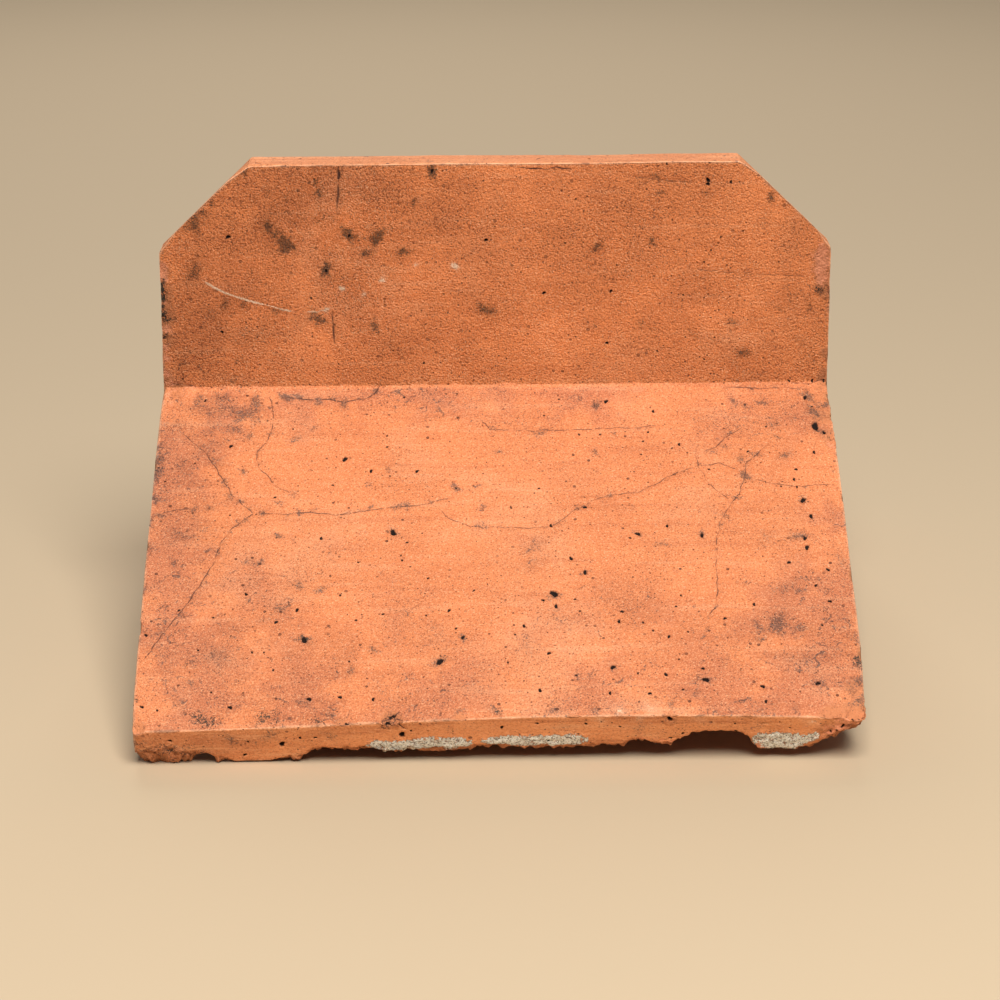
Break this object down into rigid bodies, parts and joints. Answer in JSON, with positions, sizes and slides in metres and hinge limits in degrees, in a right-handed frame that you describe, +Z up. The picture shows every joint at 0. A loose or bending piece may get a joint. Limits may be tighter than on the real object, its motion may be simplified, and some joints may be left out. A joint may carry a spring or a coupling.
{
  "type": "crested ridge tile",
  "caption": "Weathered fired-clay ridge tile for the top of a pitched roof: sloping wings with a plain upright crest along the ridge and clipped crest corners.",
  "frame": {"origin": "on the floor under the middle of the ridge, at the centre of the bounding box's base", "axes": "+X along the ridge, +Y across it from the weathered front wing to the back wing, +Z up along the crest"},
  "size_m": [0.305, 0.3654, 0.2225],
  "materials": {
    "fired_clay": "rough unglazed fired clay, weathered"
  },
  "bodies": {
    "root": {"ridge_tile": "fired_clay"}
  },
  "joints": []
}
